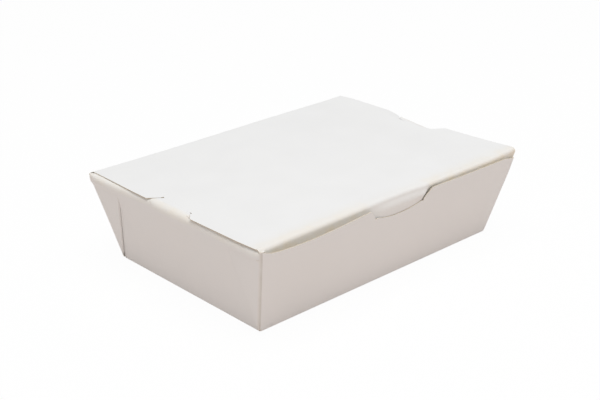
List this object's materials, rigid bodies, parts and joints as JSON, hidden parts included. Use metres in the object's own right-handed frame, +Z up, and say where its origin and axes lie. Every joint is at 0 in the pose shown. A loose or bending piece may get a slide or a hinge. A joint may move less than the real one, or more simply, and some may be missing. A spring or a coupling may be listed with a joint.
{
  "type": "takeout food box",
  "caption": "Flared white paperboard food box with gusseted corners, inward dust flaps and a hinged lid that tucks into the front wall.",
  "frame": {"origin": "middle of the base's underside, where the box stands", "axes": "+X along the box's length, -Y towards the front wall with the tuck flap, +Y towards the lid's fold, +Z up"},
  "size_m": [0.1938, 0.1434, 0.0508],
  "materials": {
    "board": "matt white paperboard"
  },
  "bodies": {
    "tray": {"tray": "board"},
    "lid": {"lid": "board"}
  },
  "joints": [
    {"name": "lid_hinge", "type": "hinge", "parent": "tray", "child": "lid", "pos_m": [0, 0.07123, 0.0502], "axis": [-1, 0, 0], "range_deg": [0, 180]}
  ]
}
